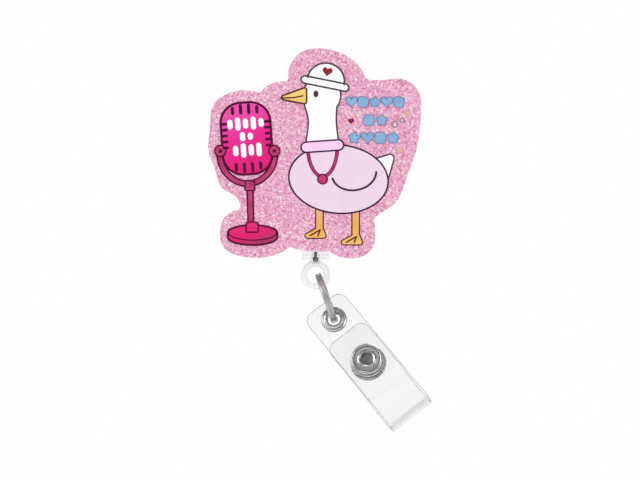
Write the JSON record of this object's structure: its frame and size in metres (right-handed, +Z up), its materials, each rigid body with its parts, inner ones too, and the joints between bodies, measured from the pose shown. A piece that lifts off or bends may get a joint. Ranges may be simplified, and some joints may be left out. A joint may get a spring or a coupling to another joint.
{
  "type": "retractable badge reel",
  "caption": "Clear round retractable badge reel with a die-cut glitter topper, corded end ring, split ring, clear snap strap and swivelling bulldog clip",
  "frame": {"origin": "between the closed jaws of the clip, where the garment's edge is gripped", "axes": "+X to the right seen from the front, -Y out of the topper's printed face, +Z up as the reel is worn"},
  "size_m": [0.0604, 0.0283, 0.1035],
  "materials": {
    "clear_plastic": "clear moulded, glossy",
    "glitter_acrylic": "pink acrylic full of fine glitter",
    "bird_print": "flat printed film",
    "microphone_print": "flat printed film",
    "accent_print": "flat printed film",
    "foam_pad": "double-sided foam tape",
    "white_plastic": "moulded",
    "cord": "braided nylon",
    "spring_steel": "rolled strip and wire",
    "ring_steel": "nickel plated",
    "clip_steel": "nickel plated, stamped",
    "nickel": "nickel plated, pressed",
    "clear_vinyl": "clear flexible vinyl"
  },
  "bodies": {
    "clip_base": {"clip_base_jaw": "clip_steel", "clip_hinge_pin": "clip_steel", "clip_spring": "spring_steel", "clip_rivet": "clip_steel", "rivet_washer": "clip_steel", "swivel_washer": "white_plastic"},
    "clip_lever": {"clip_lever_jaw": "clip_steel"},
    "reel": {"front_cover": "clear_plastic", "rear_cover": "clear_plastic", "power_spring": "spring_steel", "cord_inner_run": "cord", "adhesive_pad": "foam_pad", "topper_plate": "glitter_acrylic", "bird_print": "bird_print", "microphone_print": "microphone_print", "accent_prints": "accent_print"},
    "spool": {"spool": "white_plastic", "spool_cap": "white_plastic", "cord_wound": "cord"},
    "cord_end": {"cord_lead": "cord", "cord_knot": "cord"},
    "end_ring": {"end_ring": "clear_plastic"},
    "split_ring": {"split_ring": "ring_steel"},
    "strap": {"strap_front_leg": "clear_vinyl", "strap_fold": "clear_vinyl", "eyelet_barrel": "nickel", "eyelet_washer": "nickel", "snap_post": "nickel", "snap_socket": "nickel"},
    "flap": {"strap_rear_leg": "clear_vinyl", "snap_stud": "nickel", "snap_cap": "nickel"}
  },
  "joints": [
    {"name": "clip_jaw_open", "type": "hinge", "parent": "clip_base", "child": "clip_lever", "pos_m": [0, 0.001, 0.0204], "axis": [1, 0, 0], "range_deg": [0, 22], "stiffness_Nm_per_rad": 0.1, "springref_deg": -57.3, "deforming": ["clip_spring"]},
    {"name": "clip_swivel", "type": "hinge", "parent": "clip_base", "child": "reel", "pos_m": [0, -0.00825, 0.0144], "axis": [0, 1, 0], "continuous": true},
    {"name": "spool_spin", "type": "hinge", "parent": "reel", "child": "spool", "pos_m": [0, -0.00825, 0.0144], "axis": [0, 1, 0], "continuous": true},
    {"name": "cord_pull", "type": "slide", "parent": "reel", "child": "cord_end", "axis": [0, 0, -1], "range_m": [0, 0.6], "stiffness_N_per_m": 0.8, "springref_m": -0.5, "deforming": ["cord_lead"]},
    {"name": "end_ring_twist", "type": "hinge", "parent": "cord_end", "child": "end_ring", "pos_m": [0, -0.00825, -0.0092], "axis": [0, 0, 1], "continuous": true},
    {"name": "ring_swing", "type": "hinge", "parent": "end_ring", "child": "split_ring", "pos_m": [0, -0.00825, -0.0092], "axis": [0, 1, 0], "range_deg": [-25.8, 64.2]},
    {"name": "strap_swing", "type": "hinge", "parent": "split_ring", "child": "strap", "pos_m": [0.00504, -0.01047, -0.02132], "axis": [-0.1125, -0.9397, 0.323], "range_deg": [-80, 40]},
    {"name": "flap_open", "type": "hinge", "parent": "strap", "child": "flap", "pos_m": [0.02428, -0.01797, -0.04494], "axis": [-0.7875, -0.1139, -0.6056], "range_deg": [0, 100]}
  ],
  "couplings": [
    {"joint": "spool_spin", "follows": "cord_pull", "rad_per_m": 91.3}
  ]
}
